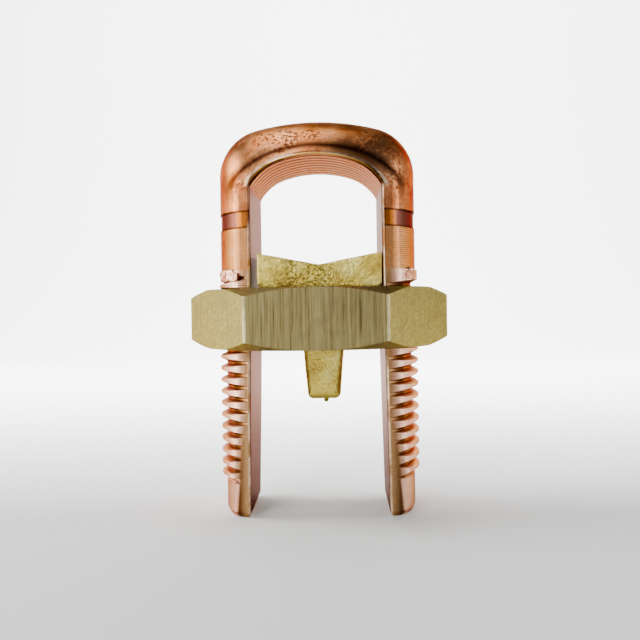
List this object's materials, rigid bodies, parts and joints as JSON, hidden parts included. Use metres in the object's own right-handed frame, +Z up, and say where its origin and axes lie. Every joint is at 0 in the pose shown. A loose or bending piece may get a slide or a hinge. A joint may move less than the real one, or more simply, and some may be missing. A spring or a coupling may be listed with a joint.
{
  "type": "split-bolt ground clamp",
  "caption": "U-shaped copper bolt with threaded legs, a brass hex nut on both legs and a V-topped brass bar that the nut presses up against conductors in the slot.",
  "frame": {"origin": "midway between the two leg tips, in the plane they stand on: the bottom centre of the bounding box", "axes": "+Z up the legs to the arch, X from leg to leg, Y along the conductors, -Y to the front"},
  "size_m": [0.0474, 0.0412, 0.0708],
  "materials": {
    "copper": "satin, as forged on the arch and turned below it",
    "nut_brass": "drawn bar, lengthwise grain on the flats",
    "cast_brass": "as cast, wrinkled"
  },
  "bodies": {
    "bolt": {"split_bolt": "copper"},
    "bar": {"pressure_bar": "cast_brass"},
    "nut": {"hex_nut": "nut_brass"}
  },
  "joints": [
    {"name": "bar_slide", "type": "slide", "parent": "bolt", "child": "bar", "axis": [0, 0, 1], "range_m": [-0.02435, 0.00107]},
    {"name": "nut_spin", "type": "hinge", "parent": "bar", "child": "nut", "pos_m": [0, 0, 0.03505], "axis": [0, 0, 1], "range_deg": [-4140, 180]}
  ],
  "couplings": [
    {"joint": "bar_slide", "follows": "nut_spin", "m_per_rad": 0.00033688}
  ]
}
